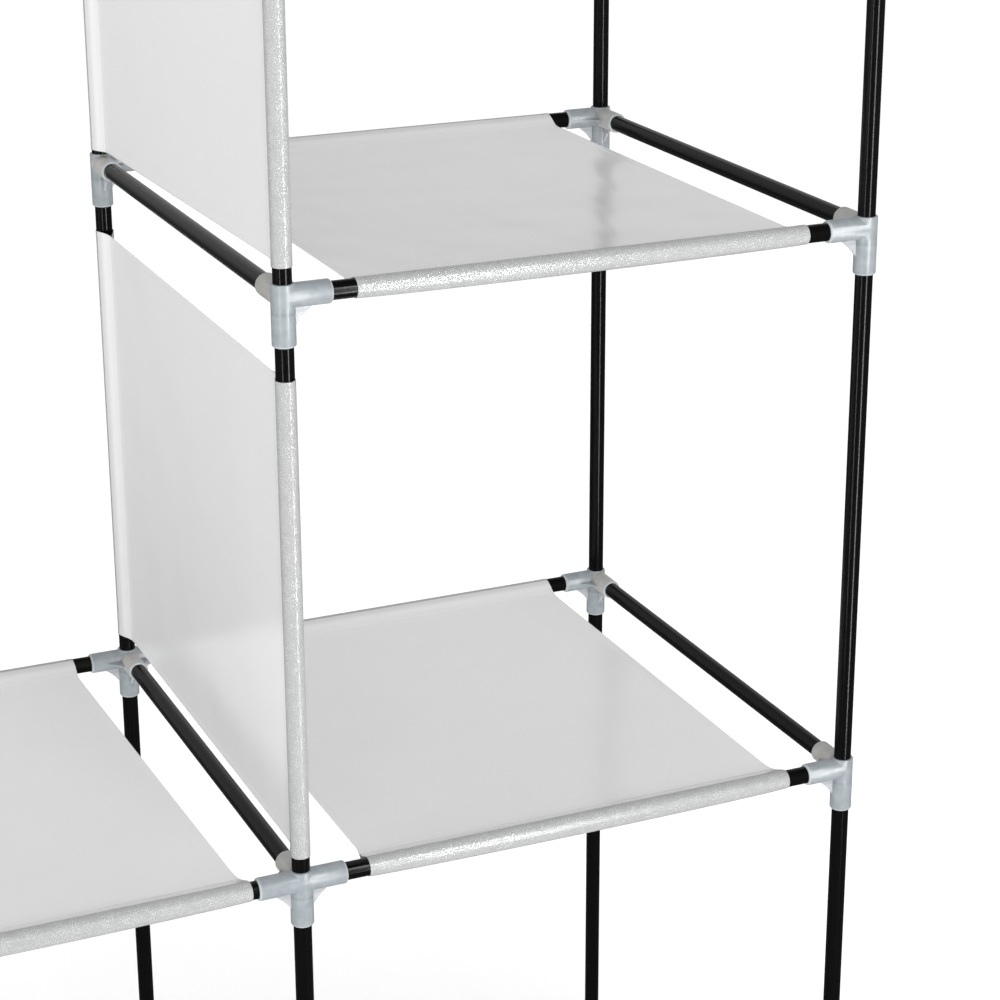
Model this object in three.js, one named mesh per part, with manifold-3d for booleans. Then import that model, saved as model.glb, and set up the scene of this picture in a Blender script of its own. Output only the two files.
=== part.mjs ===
// Portable wardrobe frame: steel tubes in plastic sockets, cloth shelves and dividers.
// Millimetres. +X to the right, +Y to the back, +Z up, origin on the floor under the middle.

import * as THREE from "three";
import { mergeVertices } from "three/addons/utils/BufferGeometryUtils.js";
import Module from "manifold-3d";

const wasm = await Module();
wasm.setup();

// Layout of the frame, from tube axis to tube axis
const columnPitch = 442;
const depthPitch = 433;
const tierPitch = 427;
const baseTier = 460;
const legHeight = 87;

// Tubes: posts, rails and clothes rods are the same stock
const tubeRadius = 6.5;
const tubeWall = 0.7;
const sides = 12;

// Plastic sockets where a post and its rails meet. The collar round the post stands
// a little above the arms.
const clearance = 0.3;
const socketRadius = 8.5;
const armLength = 33;
const downLength = 34;
const rimHeight = 2.5;
const rimTaper = 1.2;
const collarHeight = 0.4;
const topWall = 2.6;
const webThickness = 1.6;
const webReach = 13;

// End cap pushed over the foot of each post
const capRadius = 8;
const capHeight = 14;
const capFloor = 3;

// Cloth. The gap of a shelf is from its edge to the mouths of the sockets, and the left
// shelf has slid along its rails towards the middle.
const clothThickness = 0.8;
const shelfGap = 17;
const leftShelfGap = 5;
const dividerFloorGap = 20;
const dividerTopGap = 57;

// Clothes rods hook over the top side rails, next to each other on the middle one. A hook
// reaches a little past the middle of the rail.
const hookRadius = 9.3;
const hookWidth = 14;
const hookLip = 1.5;
const rodOffset = 8;

const boreRadius = tubeRadius + clearance;
const clothRadius = boreRadius + clothThickness;
const railStart = tubeRadius + 4 * clearance;
const socketTop = socketRadius + collarHeight;
const shelfWidth = columnPitch - 2 * (armLength + shelfGap);
const leftShelfSlide = shelfGap - leftShelfGap;
const dividerHeight = tierPitch - dividerFloorGap - dividerTopGap;
const overcut = socketRadius;

const columns = { left: -columnPitch, middle: 0, right: columnPitch };
const rows = { front: -depthPitch / 2, rear: depthPitch / 2 };
const levels = {
  low: legHeight,
  second: legHeight + baseTier,
  third: legHeight + baseTier + tierPitch,
  top: legHeight + baseTier + 3 * tierPitch,
};
const columnLevels = {
  left: ["low", "second", "top"],
  middle: ["low", "second", "third", "top"],
  right: ["low", "second", "third", "top"],
};

const blackSteel = new THREE.MeshStandardMaterial({ color: 0x0a0a0b, roughness: 0.22, metalness: 0.4 });
const greyPlastic = new THREE.MeshStandardMaterial({ color: 0xaeb7be, roughness: 0.45, metalness: 0 });
const paleCloth = new THREE.MeshStandardMaterial({ color: 0xd6d6d4, roughness: 0.8, metalness: 0 });

// A closed mesh becomes a solid that can be cut and joined
function solidOf(geometry) {
  const bare = geometry.clone();
  bare.deleteAttribute("normal");
  bare.deleteAttribute("uv");
  const merged = mergeVertices(bare);
  const vertProperties = new Float32Array(merged.attributes.position.array);
  const triVerts = new Uint32Array(merged.index.array);
  return new wasm.Manifold(new wasm.Mesh({ numProp: 3, vertProperties, triVerts }));
}

function geometryOf(solid) {
  const { vertProperties, triVerts } = solid.getMesh();
  const geometry = new THREE.BufferGeometry();
  geometry.setAttribute("position", new THREE.BufferAttribute(vertProperties, 3));
  geometry.setIndex(new THREE.BufferAttribute(triVerts, 1));
  geometry.computeVertexNormals();
  return geometry;
}

// A round bar built along +Z, laid along the unit vector [x, y, z]
function layAlong(geometry, direction) {
  const up = new THREE.Vector3(0, 0, 1);
  const turn = new THREE.Quaternion().setFromUnitVectors(up, new THREE.Vector3(...direction));
  return geometry.applyQuaternion(turn);
}

function bar(radius, from, to) {
  const geometry = new THREE.CylinderGeometry(radius, radius, to - from, sides);
  return geometry.rotateX(Math.PI / 2).translate(0, 0, (from + to) / 2);
}

// A bar with its far end drawn in, as the mouth of a socket is
function barrel(radius, length) {
  const profile = [
    new THREE.Vector2(0, 0),
    new THREE.Vector2(radius, 0),
    new THREE.Vector2(radius, length - rimHeight),
    new THREE.Vector2(radius - rimTaper, length),
    new THREE.Vector2(0, length),
  ];
  return new THREE.LatheGeometry(profile, sides).rotateX(Math.PI / 2);
}

// The thin triangle between two arms of a socket that point along u and v
function web(u, v) {
  const inner = boreRadius + 2 * clearance;
  const outer = socketRadius + webReach;
  const outline = new THREE.Shape();
  outline.moveTo(inner, inner);
  outline.lineTo(outer, inner);
  outline.lineTo(inner, outer);
  const plate = new THREE.ExtrudeGeometry(outline, { depth: webThickness, bevelEnabled: false });
  plate.translate(0, 0, -webThickness / 2);
  const uAxis = new THREE.Vector3(...u);
  const vAxis = new THREE.Vector3(...v);
  const normal = new THREE.Vector3().crossVectors(uAxis, vAxis);
  return plate.applyMatrix4(new THREE.Matrix4().makeBasis(uAxis, vAxis, normal));
}

// A hollow tube from one end to the other along +Z
function tubeSolid(length) {
  const skin = solidOf(bar(tubeRadius, 0, length));
  return skin.subtract(solidOf(bar(tubeRadius - tubeWall, -overcut, length + overcut)));
}

function postSolid(length) {
  const skin = solidOf(bar(tubeRadius, 0, length)).add(solidOf(bar(capRadius, 0, capHeight)));
  return skin.subtract(solidOf(bar(tubeRadius - tubeWall, capFloor, length + overcut)));
}

// A socket with one horizontal arm for each rail that meets the post
function socketSolid(arms, closedTop) {
  const down = [0, 0, -1];
  let body = solidOf(bar(socketRadius, -socketRadius, socketTop));
  body = body.add(solidOf(layAlong(barrel(socketRadius, downLength), down)));
  const boreTop = closedTop ? socketTop - topWall : socketTop + overcut;
  let bores = solidOf(bar(boreRadius, -downLength - overcut, boreTop));
  for (const arm of arms) {
    body = body.add(solidOf(layAlong(barrel(socketRadius, armLength), arm)));
    body = body.add(solidOf(web(arm, down)));
    bores = bores.add(solidOf(layAlong(bar(boreRadius, clearance, armLength + overcut), arm)));
  }
  const depthArm = arms.find((arm) => arm[1] !== 0);
  for (const arm of arms.filter((other) => other[0] !== 0)) {
    body = body.add(solidOf(web(arm, depthArm)));
  }
  return body.subtract(bores);
}

// A cloth sheet tight between two tubes at +-depthPitch / 2, with a sleeve around each.
// It is built along +Z, with the sheet in the plane of the two tube axes.
function clothSolid(length) {
  const sheetEnd = boreRadius + clothThickness / 2;
  const sheet = new THREE.BoxGeometry(clothThickness, depthPitch - 2 * sheetEnd, length);
  let cloth = solidOf(sheet.translate(0, 0, length / 2));
  for (const y of Object.values(rows)) {
    cloth = cloth.add(solidOf(bar(clothRadius, 0, length).translate(0, y, 0)));
    cloth = cloth.subtract(solidOf(bar(boreRadius, -overcut, length + overcut).translate(0, y, 0)));
  }
  return cloth;
}

// A clothes rod along +X between two side rails, with a hook over each
function rodSolid() {
  const rodStart = boreRadius + 2 * clearance;
  let rod = solidOf(layAlong(bar(tubeRadius, rodStart, columnPitch - rodStart), [1, 0, 0]));
  const bore = layAlong(bar(tubeRadius - tubeWall, 0, columnPitch), [1, 0, 0]);
  rod = rod.subtract(solidOf(bore));
  const below = new THREE.BoxGeometry(2 * overcut + hookRadius, 2 * hookWidth, 2 * hookRadius);
  below.translate(0, 0, -hookLip - hookRadius);
  let hook = solidOf(layAlong(bar(hookRadius, -hookWidth / 2, hookWidth / 2), [0, 1, 0]));
  hook = hook.subtract(solidOf(below));
  hook = hook.subtract(solidOf(layAlong(bar(boreRadius, -hookWidth, hookWidth), [0, 1, 0])));
  return rod.add(hook).add(hook.translate([columnPitch, 0, 0]));
}

const wardrobe = new THREE.Group();

function place(name, geometry, material, position, direction = [0, 0, 1]) {
  const mesh = new THREE.Mesh(geometry, material);
  mesh.name = name;
  mesh.position.set(...position);
  mesh.quaternion.setFromUnitVectors(new THREE.Vector3(0, 0, 1), new THREE.Vector3(...direction));
  wardrobe.add(mesh);
}

const columnNames = Object.keys(columns);
const joins = (columnName, level) => columnLevels[columnName].includes(level);

// Posts run through every socket to just under the closed top ones
function addPosts() {
  const length = levels.top + socketTop - topWall - clearance;
  const geometry = geometryOf(postSolid(length));
  for (const [row, y] of Object.entries(rows)) {
    for (const [column, x] of Object.entries(columns)) {
      place(`post_${row}_${column}`, geometry, blackSteel, [x, y, 0]);
    }
  }
}

function addSockets() {
  const shapes = new Map();
  for (const [row, y] of Object.entries(rows)) {
    for (const [index, column] of columnNames.entries()) {
      for (const level of columnLevels[column]) {
        const arms = [[0, -Math.sign(y), 0]];
        if (index > 0 && joins(columnNames[index - 1], level)) arms.push([-1, 0, 0]);
        if (index < columnNames.length - 1 && joins(columnNames[index + 1], level)) arms.push([1, 0, 0]);
        const key = JSON.stringify([arms, level === "top"]);
        if (!shapes.has(key)) shapes.set(key, geometryOf(socketSolid(arms, level === "top")));
        const position = [columns[column], y, levels[level]];
        place(`socket_${row}_${column}_${level}`, shapes.get(key), greyPlastic, position);
      }
    }
  }
}

function addDepthRails() {
  const geometry = geometryOf(tubeSolid(depthPitch - 2 * railStart));
  for (const [column, x] of Object.entries(columns)) {
    for (const level of columnLevels[column]) {
      const start = [x, rows.front + railStart, levels[level]];
      place(`depth_rail_${column}_${level}`, geometry, blackSteel, start, [0, 1, 0]);
    }
  }
}

function addWidthRails() {
  const geometry = geometryOf(tubeSolid(columnPitch - 2 * railStart));
  for (const [side, from, to] of [["left", "left", "middle"], ["right", "middle", "right"]]) {
    for (const level of columnLevels[side].filter((name) => joins(to, name))) {
      for (const [row, y] of Object.entries(rows)) {
        const start = [columns[from] + railStart, y, levels[level]];
        place(`width_rail_${row}_${side}_${level}`, geometry, blackSteel, start, [1, 0, 0]);
      }
    }
  }
}

// A shelf is the cloth form turned so that its sheet lies flat and it runs along +X
function addShelves() {
  const turned = geometryOf(clothSolid(shelfWidth)).rotateY(-Math.PI / 2);
  const shelf = turned.translate(shelfWidth / 2, 0, 0);
  const middleOfRight = columnPitch / 2;
  for (const level of ["second", "third"]) {
    place(`shelf_right_${level}`, shelf, paleCloth, [middleOfRight, 0, levels[level]]);
  }
  place("shelf_left_second", shelf, paleCloth, [leftShelfSlide - middleOfRight, 0, levels.second]);
}

function addDividers() {
  const divider = geometryOf(clothSolid(dividerHeight));
  place("divider_lower", divider, paleCloth, [0, 0, levels.second + dividerFloorGap]);
  place("divider_upper", divider, paleCloth, [0, 0, levels.third + dividerFloorGap]);
}

function addClothesRods() {
  const rod = geometryOf(rodSolid());
  place("clothes_rod_left", rod, blackSteel, [columns.left, -rodOffset, levels.top]);
  place("clothes_rod_right", rod, blackSteel, [columns.middle, rodOffset, levels.top]);
}

addPosts();
addSockets();
addDepthRails();
addWidthRails();
addShelves();
addDividers();
addClothesRods();

export default wardrobe;
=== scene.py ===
import math

import bmesh
import bpy
from mathutils import Matrix, Vector, noise


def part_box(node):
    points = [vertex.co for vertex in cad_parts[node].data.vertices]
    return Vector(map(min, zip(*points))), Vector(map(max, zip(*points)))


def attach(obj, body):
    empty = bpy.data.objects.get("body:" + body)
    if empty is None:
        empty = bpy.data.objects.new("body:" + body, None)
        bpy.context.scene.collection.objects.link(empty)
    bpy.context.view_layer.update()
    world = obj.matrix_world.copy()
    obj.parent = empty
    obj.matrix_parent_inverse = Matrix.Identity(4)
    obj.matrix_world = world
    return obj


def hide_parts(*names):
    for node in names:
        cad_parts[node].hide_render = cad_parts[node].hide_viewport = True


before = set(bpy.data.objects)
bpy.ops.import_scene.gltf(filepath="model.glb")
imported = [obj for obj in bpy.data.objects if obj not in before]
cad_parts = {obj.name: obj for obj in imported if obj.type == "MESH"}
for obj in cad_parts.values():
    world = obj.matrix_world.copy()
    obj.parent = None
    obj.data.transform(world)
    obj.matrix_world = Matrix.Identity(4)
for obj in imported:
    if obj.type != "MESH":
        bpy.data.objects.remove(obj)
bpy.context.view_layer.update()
mm = 0.001


def linear(hexColour):
    channels = [int(hexColour[i : i + 2], 16) / 255 for i in (1, 3, 5)]
    return [c / 12.92 if c <= 0.04045 else ((c + 0.055) / 1.055) ** 2.4 for c in channels] + [1.0]


# Camera, lamps and backdrop

# yaw is turned from straight along +Y to the right, and pitch is down; both in radians
view = dict(
    at=(-0.5329, -1.7663, 1.4264),
    yaw=0.417455,
    pitch=0.337443,
    roll=-0.0032246,
    lens=93.43,
    shiftY=-0.03,
)
flatAhead = Vector((math.sin(view["yaw"]), math.cos(view["yaw"]), 0))
flatRight = Vector((math.cos(view["yaw"]), -math.sin(view["yaw"]), 0))


def makeCamera():
    ahead = flatAhead * math.cos(view["pitch"]) - Vector((0, 0, math.sin(view["pitch"])))
    turn = Matrix((flatRight, flatRight.cross(ahead), -ahead)).transposed()
    turn = turn @ Matrix.Rotation(view["roll"], 3, "Z")
    data = bpy.data.cameras.new("camera")
    data.lens = view["lens"]
    data.shift_y = view["shiftY"]
    data.clip_end = 100
    camera = bpy.data.objects.new("camera", data)
    camera.matrix_world = Matrix.Translation(view["at"]) @ turn.to_4x4()
    bpy.context.scene.collection.objects.link(camera)
    bpy.context.scene.camera = camera


def addNode(tree, kind, settings=None, links=None):
    node = tree.nodes.new(kind)
    for key, value in (settings or {}).items():
        if isinstance(key, str) and hasattr(node, key):
            setattr(node, key, value)
        else:
            node.inputs[key].default_value = value
    for key, source in (links or {}).items():
        tree.links.new(source, node.inputs[key])
    return node


# turn is measured at the target from the camera's direction, to the right of the picture.
# A strip shows in gloss alone, where it draws the line in the paint. It stands on the floor,
# because an upright tube seen from above mirrors what is low. The fill isn't mirrored, and
# stands low and near, so that it reaches the lower shelves more than the upper one.
lamps = {
    "frontSoftbox": dict(turn=10, height=30, distance=5.2, size=(4.8, 2.6), level=1.25),
    "rightSoftbox": dict(turn=80, height=5, distance=4.2, size=(2.4, 2.4), level=0.25),
    "leftSoftbox": dict(turn=-62, height=4, distance=4.2, size=(2.6, 2.6), level=1.7),
    "frontFill": dict(turn=24, height=8, distance=2.2, size=(1.6, 1.0), level=4.9),
    "leftStrip": dict(turn=-20, height=0, distance=1.5, size=(0.12, 1.9), level=17),
    "rightStrip": dict(turn=44, height=0, distance=1.5, size=(0.14, 1.9), level=40),
}
lampTarget = Vector((0.1, 0, 0.95))


def makeLamps():
    for name, lamp in lamps.items():
        turn = math.radians(lamp["turn"])
        height = math.radians(lamp["height"])
        out = (flatRight * math.sin(turn) - flatAhead * math.cos(turn)) * math.cos(height)
        out.z = math.sin(height)
        data = bpy.data.lights.new(name, "AREA")
        data.shape = "RECTANGLE"
        data.size, data.size_y = lamp["size"]
        data.energy = lamp["level"] * math.pi * data.size * data.size_y
        obj = bpy.data.objects.new(name, data)
        turned = out.to_track_quat("Z", "Y").to_matrix().to_4x4()
        obj.matrix_world = Matrix.Translation(lampTarget + out * lamp["distance"]) @ turned
        obj.visible_camera = False
        obj.visible_diffuse = not name.endswith("Strip")
        obj.visible_glossy = not name.endswith("Fill")
        bpy.context.scene.collection.objects.link(obj)


plainWhite = (1, 1, 1, 1)

# Gloss mirrors mirrorBright behind the frame and mirrorDim elsewhere. The three ranges are where
# the bright part comes in: towards the back, above the horizon, and below the top.
# For the camera the floor glows up to white, by glowFar well away from the frame and by glowNear
# round the feet, where more would drown their shadow. glowReach is how far from the middle.
studio = dict(
    fill=0.82,
    mirrorDim=0.1,
    mirrorBright=0.68,
    mirrorBehind=(0.0, 0.35),
    mirrorHorizon=(-0.2, 0.2),
    mirrorTop=(0.85, 0.5),
    floorColour=0.8,
    glowNear=0.18,
    glowFar=0.36,
    glowReach=(0.45, 1.1),
    floorReach=12,
)


def makeWorld():
    world = bpy.data.worlds.new("studio")
    bpy.context.scene.world = world
    world.use_nodes = True
    tree = world.node_tree
    tree.nodes.clear()
    path = addNode(tree, "ShaderNodeLightPath")
    toward = addNode(tree, "ShaderNodeTexCoord")
    behind = addNode(
        tree,
        "ShaderNodeVectorMath",
        {"operation": "DOT_PRODUCT", 1: flatAhead},
        {0: toward.outputs["Generated"]},
    )
    way = addNode(tree, "ShaderNodeSeparateXYZ", None, {0: toward.outputs["Generated"]})
    edges = [
        (behind.outputs["Value"], studio["mirrorBehind"]),
        (way.outputs["Z"], studio["mirrorHorizon"]),
        (way.outputs["Z"], studio["mirrorTop"]),
    ]
    ramps = [
        addNode(tree, "ShaderNodeMapRange", {"From Min": start, "From Max": end}, {"Value": source})
        for source, (start, end) in edges
    ]
    bright = ramps[0]
    for ramp in ramps[1:]:
        links = {0: bright.outputs[0], 1: ramp.outputs[0]}
        bright = addNode(tree, "ShaderNodeMath", {"operation": "MULTIPLY"}, links)
    mirrored = addNode(
        tree,
        "ShaderNodeMapRange",
        {"To Min": studio["mirrorDim"], "To Max": studio["mirrorBright"]},
        {"Value": bright.outputs[0]},
    )
    links = {0: path.outputs["Is Glossy Ray"], "B": mirrored.outputs[0]}
    level = addNode(tree, "ShaderNodeMix", {"A": studio["fill"]}, links)
    links = {0: path.outputs["Is Camera Ray"], "A": level.outputs[0]}
    white = addNode(tree, "ShaderNodeMix", {"B": 1.0}, links)
    links = {"Strength": white.outputs[0]}
    glow = addNode(tree, "ShaderNodeBackground", {"Color": plainWhite}, links)
    addNode(tree, "ShaderNodeOutputWorld", None, {"Surface": glow.outputs[0]})


def makeFloor():
    bm = bmesh.new()
    bmesh.ops.create_grid(bm, x_segments=1, y_segments=1, size=studio["floorReach"])
    mesh = bpy.data.meshes.new("floor")
    bm.to_mesh(mesh)
    bm.free()
    floor = bpy.data.objects.new("floor", mesh)
    bpy.context.scene.collection.objects.link(floor)
    paper = bpy.data.materials.new("backdropPaper")
    paper.use_nodes = True
    shader = paper.node_tree.nodes["Principled BSDF"]
    shader.inputs["Base Color"].default_value = (*[studio["floorColour"]] * 3, 1)
    shader.inputs["Roughness"].default_value = 1
    shader.inputs["Specular IOR Level"].default_value = 0
    shader.inputs["Emission Color"].default_value = plainWhite
    tree = paper.node_tree
    path = addNode(tree, "ShaderNodeLightPath")
    place = addNode(tree, "ShaderNodeTexCoord")
    links = {0: place.outputs["Object"]}
    away = addNode(tree, "ShaderNodeVectorMath", {"operation": "LENGTH"}, links)
    near, far = studio["glowReach"]
    seen = addNode(
        tree,
        "ShaderNodeMapRange",
        {
            "interpolation_type": "SMOOTHSTEP",
            "From Min": near,
            "From Max": far,
            "To Min": studio["glowNear"],
            "To Max": studio["glowFar"],
        },
        {"Value": away.outputs["Value"]},
    )
    links = {0: path.outputs["Is Camera Ray"], "B": seen.outputs[0]}
    glow = addNode(tree, "ShaderNodeMix", {"A": studio["fill"]}, links)
    tree.links.new(glow.outputs[0], shader.inputs["Emission Strength"])
    mesh.materials.append(paper)
    floor.visible_glossy = False


makeCamera()
makeLamps()
makeWorld()
makeFloor()
bpy.context.scene.view_settings.view_transform = "Standard"
print("stage: camera, lamps and floor")


# Materials

noiseDetail = 2
multiply = {"data_type": "RGBA", "blend_type": "MULTIPLY", "Factor": 1.0}  # inputs 6, 7; output 2


def startMaterial(name, constants):
    material = bpy.data.materials.new(name)
    material.use_nodes = True
    tree = material.node_tree
    shader = tree.nodes["Principled BSDF"]
    for key, value in constants.items():
        shader.inputs[key].default_value = value
    place = addNode(tree, "ShaderNodeTexCoord")
    return material, tree, shader, place.outputs["Object"]


# peel is the spacing of the orange peel
paint = dict(
    colour="#090909",
    roughness=0.17,
    specular=0.12,
    peel=2 * mm,
    peelDepth=0.1 * mm,
    peelStrength=0.12,
)


def blackPaintedSteel():
    # baked black powder paint: near black, with thin sharp lamp lines and a slight orange peel
    material, tree, shader, place = startMaterial(
        "blackPaintedSteel",
        {
            "Base Color": linear(paint["colour"]),
            "Roughness": paint["roughness"],
            "Specular IOR Level": paint["specular"],
        },
    )
    peel = addNode(
        tree,
        "ShaderNodeTexNoise",
        {"Scale": 1 / paint["peel"], "Detail": noiseDetail},
        {"Vector": place},
    )
    bump = addNode(
        tree,
        "ShaderNodeBump",
        {"Strength": paint["peelStrength"], "Distance": paint["peelDepth"]},
        {"Height": peel.outputs[0]},
    )
    tree.links.new(bump.outputs[0], shader.inputs["Normal"])
    return material


# cloud is the size of the faint clouding, and cloudRange the part of it that turns the colour.
# ringAt is the depth of the ring under the arms, and ringStops how dark it is across that depth.
moulding = dict(
    specular=0.5,
    cloud=7 * mm,
    cloudRange=(0.33, 0.67),
    ringAt=(-16 * mm, -6 * mm),
    ringStops=[(0.0, 1.0), (0.36, 1.0), (0.44, 0.86), (0.56, 0.86), (0.66, 0.96), (1.0, 1.0)],
)
plastics = {
    "milkyPolypropylene": dict(colours=("#80878b", "#8c9296"), roughness=0.36),
    "thinPolypropyleneRim": dict(colours=("#9da2a5", "#a7acaf"), roughness=0.38),
    "thinPolypropyleneWeb": dict(colours=("#a0a3a7", "#a8abae"), roughness=0.38),
    "polypropyleneBesideCloth": dict(colours=("#999895", "#a3a29f"), roughness=0.38),
}


def milkyPlastic(name):
    # injection-moulded polypropylene: blue grey, milky and softly glossy, paler where it is thin.
    # The end of the inner tube shows through as a darker ring a little under the arms.
    material, tree, shader, place = startMaterial(
        name,
        {"Roughness": plastics[name]["roughness"], "Specular IOR Level": moulding["specular"]},
    )
    clouds = addNode(
        tree,
        "ShaderNodeTexNoise",
        {"Scale": 1 / moulding["cloud"], "Detail": noiseDetail},
        {"Vector": place},
    )
    tint = addNode(tree, "ShaderNodeValToRGB", None, {0: clouds.outputs[0]})
    stops = zip(tint.color_ramp.elements, moulding["cloudRange"], plastics[name]["colours"])
    for element, position, colour in stops:
        element.position = position
        element.color = linear(colour)
    local = addNode(tree, "ShaderNodeAttribute", {"attribute_name": "fromCentre"})
    parts = addNode(tree, "ShaderNodeSeparateXYZ", None, {0: local.outputs["Vector"]})
    low, high = moulding["ringAt"]
    depth = addNode(
        tree,
        "ShaderNodeMapRange",
        {"From Min": low, "From Max": high},
        {"Value": parts.outputs["Z"]},
    )
    ring = addNode(tree, "ShaderNodeValToRGB", None, {0: depth.outputs[0]})
    for position, value in moulding["ringStops"][1:-1]:
        ring.color_ramp.elements.new(position)
    for element, (position, value) in zip(ring.color_ramp.elements, moulding["ringStops"]):
        element.color = (value, value, value, 1)
    shaded = addNode(tree, "ShaderNodeMix", multiply, {6: tint.outputs[0], 7: ring.outputs[0]})
    tree.links.new(shaded.outputs[2], shader.inputs["Base Color"])
    return material


# dot is the spacing of the embossing, and cloud that of the patches where its lighter colour,
# a painted glint, thins out. The dots are about twice as coarse as real ones, which would be
# too fine to show. dotEdge is where a dot begins and where it is full, as shares of the spacing.
# glintsLeft is what the patches leave of the painted glints, and tubeShade how dark the cloth is
# over
# a tube: partly the black tube showing through, partly painted shade.
nonwoven = dict(
    specular=0.5,
    dot=1.35 * mm,
    dotDepth=0.25 * mm,
    dotScatter=0.8,
    dotEdge=(0.5, 0.12),
    cloud=5 * mm,
    glintCloudRange=(0.35, 0.65),
    glintsLeft=0.25,
    tubeShade=0.84,
)
# The sleeve's colours are darker than the sheet's: partly the black tube showing through the cloth,
# partly painted shade.
cloths = {
    "spunbondSheet": dict(colours=("#d6d6d6", "#d9d9d9"), roughness=0.19, emboss=0.0),
    "spunbondSleeveShaded": dict(colours=("#a6a7a7", "#c3c4c5"), roughness=0.2, emboss=0.7),
}


def spunbondCloth(name):
    # spunbond nonwoven with a film face: pale grey and a little glossy, dotted by the embossing
    # rollers where it bends. The dots are lighter, as painted glints that thin out in clouds. Where
    # the cloth lies over the tube it is darker: partly the black tube showing through, partly
    # painted shade. The unrolled attribute holds the way across the strip, the way along it, and how
    # near the tube is, which sets that painted shade.
    cloth = cloths[name]
    material, tree, shader, place = startMaterial(
        name,
        {"Roughness": cloth["roughness"], "Specular IOR Level": nonwoven["specular"]},
    )
    unrolled = addNode(tree, "ShaderNodeAttribute", {"attribute_name": "unrolled"})
    parts = addNode(tree, "ShaderNodeSeparateXYZ", None, {0: unrolled.outputs["Vector"]})
    dots = addNode(
        tree,
        "ShaderNodeTexVoronoi",
        {
            "voronoi_dimensions": "2D",
            "Scale": 1 / nonwoven["dot"],
            "Randomness": nonwoven["dotScatter"],
        },
        {"Vector": unrolled.outputs["Vector"]},
    )
    rim, full = nonwoven["dotEdge"]
    raised = addNode(
        tree,
        "ShaderNodeMapRange",
        {"interpolation_type": "SMOOTHSTEP", "From Min": rim, "From Max": full},
        {"Value": dots.outputs["Distance"]},
    )
    clouds = addNode(
        tree,
        "ShaderNodeTexNoise",
        {"Scale": 1 / nonwoven["cloud"], "Detail": noiseDetail},
        {"Vector": place},
    )
    # where the clouds are low, the painted glints on the dots thin out
    sparseFrom, denseFrom = nonwoven["glintCloudRange"]
    glintShare = addNode(
        tree,
        "ShaderNodeMapRange",
        {"From Min": sparseFrom, "From Max": denseFrom, "To Min": nonwoven["glintsLeft"]},
        {"Value": clouds.outputs[0]},
    )
    light = addNode(
        tree,
        "ShaderNodeMath",
        {"operation": "MULTIPLY"},
        {0: raised.outputs[0], 1: glintShare.outputs[0]},
    )
    # the dots are lighter in colour: painted glints, thinned in the clouds
    tone = addNode(tree, "ShaderNodeValToRGB", None, {0: light.outputs[0]})
    for element, colour in zip(tone.color_ramp.elements, cloth["colours"]):
        element.color = linear(colour)
    # painted shade over the tube, partly the black tube showing through: darker nearer its axis
    under = addNode(tree, "ShaderNodeValToRGB", None, {0: parts.outputs["Z"]})
    for element, value in zip(under.color_ramp.elements, (1, nonwoven["tubeShade"])):
        element.color = (value, value, value, 1)
    shaded = addNode(tree, "ShaderNodeMix", multiply, {6: tone.outputs[0], 7: under.outputs[0]})
    tree.links.new(shaded.outputs[2], shader.inputs["Base Color"])
    if cloth["emboss"]:
        bump = addNode(
            tree,
            "ShaderNodeBump",
            {"Strength": cloth["emboss"], "Distance": nonwoven["dotDepth"]},
            {"Height": raised.outputs[0]},
        )
        tree.links.new(bump.outputs[0], shader.inputs["Normal"])
    return material


steel = blackPaintedSteel()
socketPlastics = [milkyPlastic(name) for name in plastics]
clothSheet, clothSleeve = [spunbondCloth(name) for name in cloths]
print("stage: materials")


# Shapes


def centreOf(node):
    low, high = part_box(node)
    return (low + high) / 2


columns = {name: centreOf(f"post_front_{name}").x for name in ("left", "middle", "right")}
rows = {name: centreOf(f"post_{name}_left").y for name in ("front", "rear")}
levels = {name: centreOf(f"depth_rail_right_{name}").z for name in ("low", "second", "third", "top")}

sharpFrom = math.radians(40)
mergeWithin = 0.0001 * mm


def makePiece(name, bm, materials, node):
    mesh = bpy.data.meshes.new(name)
    bm.to_mesh(mesh)
    bm.free()
    for material in materials:
        mesh.materials.append(material)
    mesh.shade_smooth()
    mesh.set_sharp_from_angle(angle=sharpFrom)
    obj = bpy.data.objects.new(name, mesh)
    bpy.context.scene.collection.objects.link(obj)
    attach(obj, "root")
    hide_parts(node)
    return obj


# A profile of (radius, height) spun round +Z. It starts and ends on the axis, or closes on itself.
def spun(profile, sides=48):
    bm = bmesh.new()
    points = [bm.verts.new((radius, 0, height)) for radius, height in profile]
    lines = [bm.edges.new(pair) for pair in zip(points, points[1:])]
    if profile[0][0] > 0:
        lines.append(bm.edges.new((points[-1], points[0])))
    bmesh.ops.spin(
        bm,
        geom=points + lines,
        axis=(0, 0, 1),
        cent=(0, 0, 0),
        angle=2 * math.pi,
        steps=sides,
        use_merge=True,
    )
    bmesh.ops.remove_doubles(bm, verts=bm.verts[:], dist=mergeWithin)
    bmesh.ops.recalc_face_normals(bm, faces=bm.faces[:])
    return bm


def laid(bm, direction=(0, 0, 1), at=(0, 0, 0)):
    turn = Vector((0, 0, 1)).rotation_difference(Vector(direction)).to_matrix().to_4x4()
    bmesh.ops.transform(bm, matrix=Matrix.Translation(at) @ turn, verts=bm.verts[:])
    return bm


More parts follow.
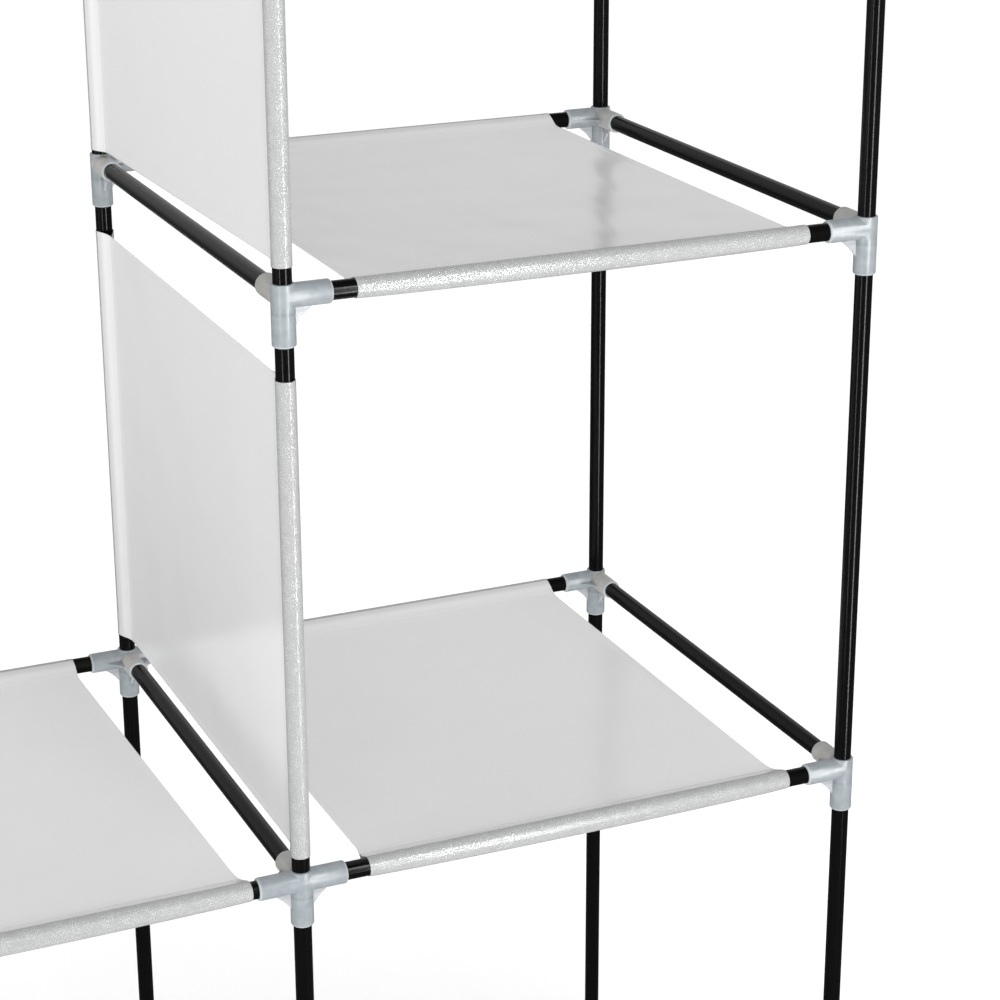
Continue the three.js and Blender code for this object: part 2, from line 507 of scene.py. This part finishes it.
# The union of the first shapes less the others. It works in millimetres, for the solver's sake.
def joined(parts, cuts):
    made = []
    for bm in parts + cuts:
        bmesh.ops.scale(bm, vec=(1 / mm, 1 / mm, 1 / mm), verts=bm.verts[:])
        mesh = bpy.data.meshes.new("work")
        bm.to_mesh(mesh)
        bm.free()
        obj = bpy.data.objects.new("work", mesh)
        bpy.context.scene.collection.objects.link(obj)
        made.append(obj)
    base = made[0]
    for k, other in enumerate(made[1:], 1):
        step = base.modifiers.new("join", "BOOLEAN")
        step.operation = "UNION" if k < len(parts) else "DIFFERENCE"
        step.solver = "MANIFOLD"
        step.object = other
    bpy.context.view_layer.update()
    graph = bpy.context.evaluated_depsgraph_get()
    result = bpy.data.meshes.new_from_object(base.evaluated_get(graph))
    bm = bmesh.new()
    bm.from_mesh(result)
    bmesh.ops.scale(bm, vec=(mm, mm, mm), verts=bm.verts[:])
    bpy.data.meshes.remove(result)
    for obj in made:
        mesh = obj.data
        bpy.data.objects.remove(obj)
        bpy.data.meshes.remove(mesh)
    return bm


# Tubes and end caps

tube = dict(
    radius=6.5 * mm,
    wall=0.7 * mm,
    chamfer=0.15 * mm,
)
# fit is the gap between the cap and its tube
cap = dict(
    radius=8 * mm,
    height=14 * mm,
    floor=3 * mm,
    fit=0.1 * mm,
)


def tubeShape(length):
    outer = tube["radius"]
    inner = outer - tube["wall"]
    c = tube["chamfer"]
    return spun([
        (outer, c),
        (outer, length - c),
        (outer - c, length),
        (inner + c, length),
        (inner, length - c),
        (inner, c),
        (inner + c, 0),
        (outer - c, 0),
    ])


def makeTube(node, direction, skip=0.0):
    low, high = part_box(node)
    middle = (low + high) / 2
    direction = Vector(direction)
    start = low.dot(direction) + skip
    end = high.dot(direction)
    at = middle + direction * (start - middle.dot(direction))
    makePiece(f"tube_{node}", laid(tubeShape(end - start), direction, at), [steel], node)


def makeCap(node):
    r, h = cap["radius"], cap["height"]
    bore = tube["radius"] + cap["fit"]
    shape = spun([
        (0, 0),
        (r - 1.2 * mm, 0),  # from here the foot's edge is rounded
        (r - 0.5 * mm, 0.2 * mm),
        (r - 0.1 * mm, 0.8 * mm),
        (r, 1.6 * mm),
        (r, h - 1.4 * mm),  # and from here the rim's
        (r - 0.2 * mm, h - 0.5 * mm),
        (r - 0.7 * mm, h),
        (bore, h),
        (bore, cap["floor"]),
        (0, cap["floor"]),
    ])
    middle = centreOf(node)
    laid(shape, at=(middle.x, middle.y, 0))
    makePiece(f"cap_{node}", shape, socketPlastics[:1], node)


for node in sorted(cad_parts):
    if node.startswith("post_"):
        makeTube(node, (0, 0, 1), cap["floor"] + cap["fit"])
        makeCap(node)
    elif node.startswith("depth_rail_"):
        makeTube(node, (0, 1, 0))
    elif node.startswith("width_rail_"):
        makeTube(node, (1, 0, 0))
print("stage: tubes and caps")


# Sockets

# The arms and the barrel below have radius, bore, rim and taper in common. rim is the length of
# the rounded mouth. top is how far the crown stands over the arms' axes, and topWall closes it
# at the top level. boreStart is how near the post's axis an arm's bore comes. web is the webs'
# thickness, webInner and webOuter how far they lie from the axes, and webDip their hollow edge.
socket = dict(
    radius=8.25 * mm,
    bore=6.56 * mm,
    boreStart=0.3 * mm,
    arm=33 * mm,
    down=34 * mm,
    rim=1.3 * mm,
    taper=0.8 * mm,
    top=8.9 * mm,
    topWall=2.6 * mm,
    web=1.4 * mm,
    webInner=7.4 * mm,
    webOuter=21.5 * mm,
    webDip=1.1 * mm,
)


def barrelShape(length):
    r, rim, taper = socket["radius"], socket["rim"], socket["taper"]
    return spun([
        (0, 0),
        (r, 0),
        (r, length - rim),  # from here the mouth is rounded
        (r - 0.45 * taper, length - 0.45 * rim),
        (r - taper, length - 0.12 * rim),
        (r - taper - 0.25 * mm, length),
        (0, length),
    ])


# A thin triangle between the arms along u and v, its free edge slightly hollowed.
def webShape(u, v, steps=12):
    u, v = Vector(u), Vector(v)
    inner, outer = socket["webInner"], socket["webOuter"]
    outline = [(inner, inner)]
    for k in range(steps + 1):
        t = k / steps
        dip = socket["webDip"] * math.sin(math.pi * t) / math.sqrt(2)
        outline.append((outer + (inner - outer) * t - dip, inner + (outer - inner) * t - dip))
    thick = u.cross(v) * socket["web"]
    bm = bmesh.new()
    face = bm.faces.new([bm.verts.new(u * a + v * b - thick / 2) for a, b in outline])
    grown = bmesh.ops.extrude_face_region(bm, geom=[face])["geom"]
    bmesh.ops.translate(bm, verts=[g for g in grown if isinstance(g, bmesh.types.BMVert)], vec=thick)
    bmesh.ops.recalc_face_normals(bm, faces=bm.faces[:])
    return bm


def socketShape(arms, closedTop):
    down = (0, 0, -1)
    r, top, bore = socket["radius"], socket["top"], socket["bore"]
    crown = [
        (0, -top),
        (r, -top),
        (r, top - 0.7 * mm),  # from here the crown's edge is rounded
        (r - 0.25 * mm, top - 0.2 * mm),
        (r - 0.8 * mm, top),
        (0, top),
    ]
    parts = [spun(crown), laid(barrelShape(socket["down"]), down)]
    boreTop = top - socket["topWall"] if closedTop else 2 * top
    boreBottom = -2 * socket["down"]
    cuts = [spun([(0, boreBottom), (bore, boreBottom), (bore, boreTop), (0, boreTop)])]
    depthArm = next(arm for arm in arms if arm[1])
    near = socket["boreStart"]
    far = 2 * socket["arm"]
    for arm in arms:
        parts += [laid(barrelShape(socket["arm"]), arm), webShape(arm, down)]
        if arm != depthArm:
            parts.append(webShape(arm, depthArm))
        cuts.append(laid(spun([(0, near), (bore, near), (bore, far), (0, far)]), arm))
    return joined(parts, cuts)


# Slot 0 is the body, 1 the rims at the mouths, 2 the upright webs and 3 the arm along the depth.
# What lies in no arm is a web, and a web level with the arms counts as body.
def markPlastic(bm, arms):
    levelWeb = 2 * mm
    slack = 0.05 * mm
    rimDepth = 0.98 * socket["rim"]
    for face in bm.faces:
        middle = face.calc_center_median()
        mark = 0 if abs(middle.z) < levelWeb else 2
        for arm in arms:
            along = middle.dot(Vector(arm))
            across = (middle - Vector(arm) * along).length
            length = socket["down"] if arm[2] else socket["arm"]
            reached = -socket["top"] - 2 * slack < along < length + mm
            if reached and across < socket["radius"] + slack:
                mark = 3 if arm[1] and along > socket["radius"] else 0
                if along > length - rimDepth:
                    mark = 1
                break
        face.material_index = mark


def hasRail(row, column, level, side):
    bays = {
        ("left", 1): "left",
        ("middle", -1): "left",
        ("middle", 1): "right",
        ("right", -1): "right",
    }
    return f"width_rail_{row}_{bays.get((column, side))}_{level}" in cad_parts


socketShapes = {}


def makeSocket(row, column, level):
    sides = [side for side in (-1, 1) if hasRail(row, column, level, side)]
    key = (len(sides), level == "top")
    if key not in socketShapes:
        arms = [(0, 1, 0)] + [(side, 0, 0) for side in ([1] if len(sides) == 1 else [-1, 1])]
        socketShapes[key] = socketShape(arms, level == "top")
        markPlastic(socketShapes[key], arms + [(0, 0, -1)])
    bm = socketShapes[key].copy()
    mirror = sides[0] if len(sides) == 1 else 1
    depth = -math.copysign(1, rows[row])
    bmesh.ops.scale(bm, vec=(mirror, depth, 1), verts=bm.verts[:])
    if mirror * depth < 0:
        bmesh.ops.reverse_faces(bm, faces=bm.faces[:])
    local = bm.verts.layers.float_vector.new("fromCentre")
    for vert in bm.verts:
        vert[local] = vert.co
    laid(bm, at=(columns[column], rows[row], levels[level]))
    name = f"socket_{row}_{column}_{level}"
    makePiece(f"moulded_{name}", bm, socketPlastics, name)


for node in sorted(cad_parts):
    if node.startswith("socket_"):
        makeSocket(*node.split("_")[1:])
for bm in socketShapes.values():
    bm.free()
print("stage: sockets")


# Clothes rods, which hook over the side rails

# lip is how far the hook comes down past the rail's axis, and start where the rod leaves it
hook = dict(
    outer=9.3 * mm,
    bore=6.8 * mm,
    width=14 * mm,
    lip=1.5 * mm,
    edge=0.5 * mm,
    start=7.4 * mm,
)


def hookShape(x):
    half = hook["width"] / 2
    r, edge, bore = hook["outer"], hook["edge"], hook["bore"]
    ring = spun([
        (0, -half),
        (r - edge, -half),
        (r, edge - half),
        (r, half - edge),
        (r - edge, half),
        (0, half),
    ])
    reach = 2 * half
    inside = spun([(0, -reach), (bore, -reach), (bore, reach), (0, reach)])
    below = bmesh.new()
    bmesh.ops.create_cube(below, size=2 * reach)
    bmesh.ops.translate(below, verts=below.verts[:], vec=(0, 0, -reach - hook["lip"]))
    return laid(joined([laid(ring, (0, 1, 0))], [laid(inside, (0, 1, 0)), below]), at=(x, 0, 0))


def makeRod(node, start, end):
    length = end - start
    rod = laid(tubeShape(length - 2 * hook["start"]), (1, 0, 0), (hook["start"], 0, 0))
    shape = joined([rod, hookShape(0), hookShape(length)], [])
    laid(shape, at=(start, centreOf(node).y, levels["top"]))
    makePiece(f"hooked_{node}", shape, [steel], node)


makeRod("clothes_rod_left", columns["left"], columns["middle"])
makeRod("clothes_rod_right", columns["middle"], columns["right"])
print("stage: clothes rods")


# Cloth: each piece is one strip, a sleeve round the first tube, the sheet, and a second sleeve

# A sleeve's section in mm: the way from the tube's axis towards the sheet, and the height.
sleeve = [
    (25, -0.2), (22, -0.3), (19.4, -0.7), (15, -2.3), (10, -4.3), (5.4, -6),
    (1.6, -6.65), (-1.9, -6.55), (-4.85, -4.8), (-6.65, -1.9), (-6.7, 1.3), (-5.45, 4.1),
    (-3, 6.1), (0, 6.8), (3.05, 6.3), (6.5, 5), (10, 3.5), (14, 2),
    (18.6, 0.85), (19.3, 0.6), (20, 0.7), (25, 0.5),
]
strip = dict(
    thickness=0.4 * mm,
    cutDepth=0.519,  # what is cut: the span, and once round each tube to its seam
    seam=19 * mm,  # from the tube's axis
    hemStep=0.12 * mm,  # how much prouder the hem is than the rest
    hemWidth=4.7 * mm,
    hemBlend=0.5 * mm,
    hemAbove=0.4 * mm,  # lower than this, the sleeve has no step
    hemStations=(0, 0.6, 1.6, 3.0, 4.2, 4.7, 5.2, 6.4, 8.5, 11.5),  # mm
    sheetSteps=74,
    alongSteps=62,
    sleeveReach=3 * mm,  # a face nearer the axis than this is sleeve,
    sleeveUnder=0.5 * mm,  # and so is one that lies lower than this
    # the painted shade over the tube, partly the black tube showing through, goes from full to none
    tubeShadeReach=(7 * mm, 10.5 * mm),  # from the axis, all of it to none
    sagAcross=0.8,  # below 1, these three make the sag and the droop fuller
    sagAlong=0.7,
    droopAlong=0.6,
    droopUnder=5 * mm,  # all of it from this far below the axis
    droopReach=(6 * mm, 20 * mm),
    waistReach=(6 * mm, 30 * mm),
    rippleStart=0.16,  # a share of the sheet
    rippleEnds=20 * mm,
)
# The sheet's waves: the share of each, its rate along and across, and which way the seed shifts it.
ripples = [
    (0.7, (22, 9), (1, 0)),
    (0.35, (13, 24), (0, 1)),
    (0.2, (70, 16), (0, 1)),
]


# A smooth line through the points, with a few steps between neighbours.
def splined(points, per=4):
    line = []
    last = len(points) - 1
    for k in range(last):
        p0, p1, p2, p3 = (Vector(points[min(max(j, 0), last)]) for j in (k - 1, k, k + 1, k + 2))
        for step in range(per):
            t = step / per
            bend = (2 * p0 - 5 * p1 + 4 * p2 - p3) * t * t + (3 * p1 - p0 - 3 * p2 + p3) * t**3
            line.append(0.5 * (2 * p1 + (p2 - p0) * t + bend))
    line.append(Vector(points[-1]))
    return line


section = [(u * mm, w * mm) for u, w in splined(sleeve)]


def smooth(a, b, x):
    t = min(max((x - a) / (b - a), 0), 1)
    return t * t * (3 - 2 * t)


# Places along a strip, closer together at the hems.
def stationsAlong(length):
    near = [k * mm for k in strip["hemStations"]]
    count = strip["alongSteps"]
    inner = [near[-1] + (length - 2 * near[-1]) * k / count for k in range(1, count)]
    return near + inner + [length - k for k in reversed(near)]


# origin is where the first tube's axis meets the strip's start, and normal is the strip's upper
# side. sag is the sheet's dip, droop the slack under the sleeves, waist how far the free edges
# draw in, skew how far the second sleeve is slid along its tube, and ripple the sheet's waves.
def makeCloth(node, origin, along, normal, length, form):
    origin, along, normal = (Vector(v) for v in (origin, along, normal))
    across = Vector((0, 1, 0))
    span = rows["rear"] - rows["front"]
    last, top = section[-1]
    steps = strip["sheetSteps"]
    sheet = [(last + (span - 2 * last) * k / steps, top) for k in range(1, steps)]
    full = section + sheet + [(span - u, w) for u, w in reversed(section)]
    arcs = [0.0]
    for (u0, w0), (u1, w1) in zip(full, full[1:]):
        arcs.append(arcs[-1] + math.hypot(u1 - u0, w1 - w0))
    stations = stationsAlong(length)
    seam = strip["seam"]
    seed = form["seed"]
    bm = bmesh.new()
    bmesh.ops.create_grid(bm, x_segments=len(full) - 1, y_segments=len(stations) - 1, size=1)
    unrolled = bm.verts.layers.float_vector.new("unrolled")
    for face in bm.faces:
        s = int((face.calc_center_median().x + 1) / 2 * (len(full) - 1))
        u, w = full[s]
        isSleeve = min(u, span - u) < strip["sleeveReach"] or w < -strip["sleeveUnder"]
        face.material_index = 1 if isSleeve else 0
    for vert in bm.verts:
        s = round((vert.co.x + 1) / 2 * (len(full) - 1))
        a = stations[round((vert.co.y + 1) / 2 * (len(stations) - 1))]
        u, w = full[s]
        inSheet = len(section) <= s < len(section) + len(sheet)
        inward = min(u, span - u)
        edge = min(a, length - a)
        t = min(max((u - seam) / (span - 2 * seam), 0), 1)
        free = 4 * (a / length) * (1 - a / length)  # 1 half way along, and 0 at the ends
        sag = form["sag"] * math.sin(math.pi * t) ** strip["sagAcross"] * free ** strip["sagAlong"]
        height = w - sag
        if w < 0:
            slack = smooth(0, strip["droopUnder"], -w) * (1 - smooth(*strip["droopReach"], inward))
            height -= form["droop"] * free ** strip["droopAlong"] * slack
        if inSheet:
            wave = 0.0
            for share, (rateAlong, rateAcross), (shiftAlong, shiftAcross) in ripples:
                x = a * rateAlong + shiftAlong * seed
                y = u * rateAcross + shiftAcross * seed
                wave += share * noise.noise(Vector((x, y, seed)))
            reach = smooth(0, strip["rippleStart"], t) * smooth(0, strip["rippleStart"], 1 - t)
            height += wave * form["ripple"] * reach * smooth(0, strip["rippleEnds"], edge)
        if inSheet or w > strip["hemAbove"]:
            width, blend = strip["hemWidth"], strip["hemBlend"]
            height -= strip["hemStep"] * smooth(width - blend, width + blend, edge)
        pull = form["waist"] * smooth(*strip["waistReach"], inward) * (1 - 2 * a / length)
        pull += form["skew"] * u / span
        vert.co = origin + across * u + along * (a + pull) + normal * height
        # the share of painted shade over the tube, partly the black tube showing through
        tubeShade = 1 - smooth(*strip["tubeShadeReach"], math.hypot(inward, w))
        vert[unrolled] = (arcs[s], a, tubeShade)
    if across.cross(along).dot(normal) < 0:
        bmesh.ops.reverse_faces(bm, faces=bm.faces[:])
    piece = makePiece(f"cloth_{node}", bm, [clothSheet, clothSleeve], node)
    thicken = piece.modifiers.new("thickness", "SOLIDIFY")
    thicken.thickness = strip["thickness"]
    thicken.offset = 0


shelves = {
    "shelf_right_second": dict(
        sag=8 * mm,
        droop=2.2 * mm,
        waist=2.6 * mm,
        skew=0,
        ripple=0.8 * mm,
        seed=4.1,
    ),
    "shelf_right_third": dict(
        sag=6 * mm,
        droop=1.4 * mm,
        waist=2.6 * mm,
        skew=0,
        ripple=1.2 * mm,
        seed=7.7,
    ),
    "shelf_left_second": dict(
        sag=9 * mm,
        droop=2 * mm,
        waist=2.6 * mm,
        skew=-10 * mm,
        ripple=0.8 * mm,
        seed=21.4,
    ),
}
dividers = {
    "divider_lower": dict(
        sag=0.4 * mm,
        droop=0.2 * mm,
        waist=1 * mm,
        skew=3 * mm,
        ripple=0.4 * mm,
        seed=11.9,
    ),
    "divider_upper": dict(
        sag=0.4 * mm,
        droop=0.2 * mm,
        waist=1 * mm,
        skew=-8 * mm,
        ripple=0.3 * mm,
        seed=14.6,
    ),
}

for node, form in shelves.items():
    low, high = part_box(node)
    _, bay, level = node.split("_")
    origin = (low.x, rows["front"], levels[level])
    makeCloth(node, origin, (1, 0, 0), (0, 0, 1), high.x - low.x, form)

for node, form in dividers.items():
    low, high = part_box(node)
    origin = (columns["middle"], rows["front"], low.z)
    makeCloth(node, origin, (0, 0, 1), (-1, 0, 0), high.z - low.z, form)

# Seen from behind, the dividers would mirror the left strip and burn out to white.
spared = bpy.data.collections.new("sparedByTheStrip")
for node in dividers:
    spared.objects.link(bpy.data.objects[f"cloth_{node}"])
for entry in spared.collection_objects:
    entry.light_linking.link_state = "EXCLUDE"
bpy.data.objects["leftStrip"].light_linking.receiver_collection = spared
print("stage: cloth")
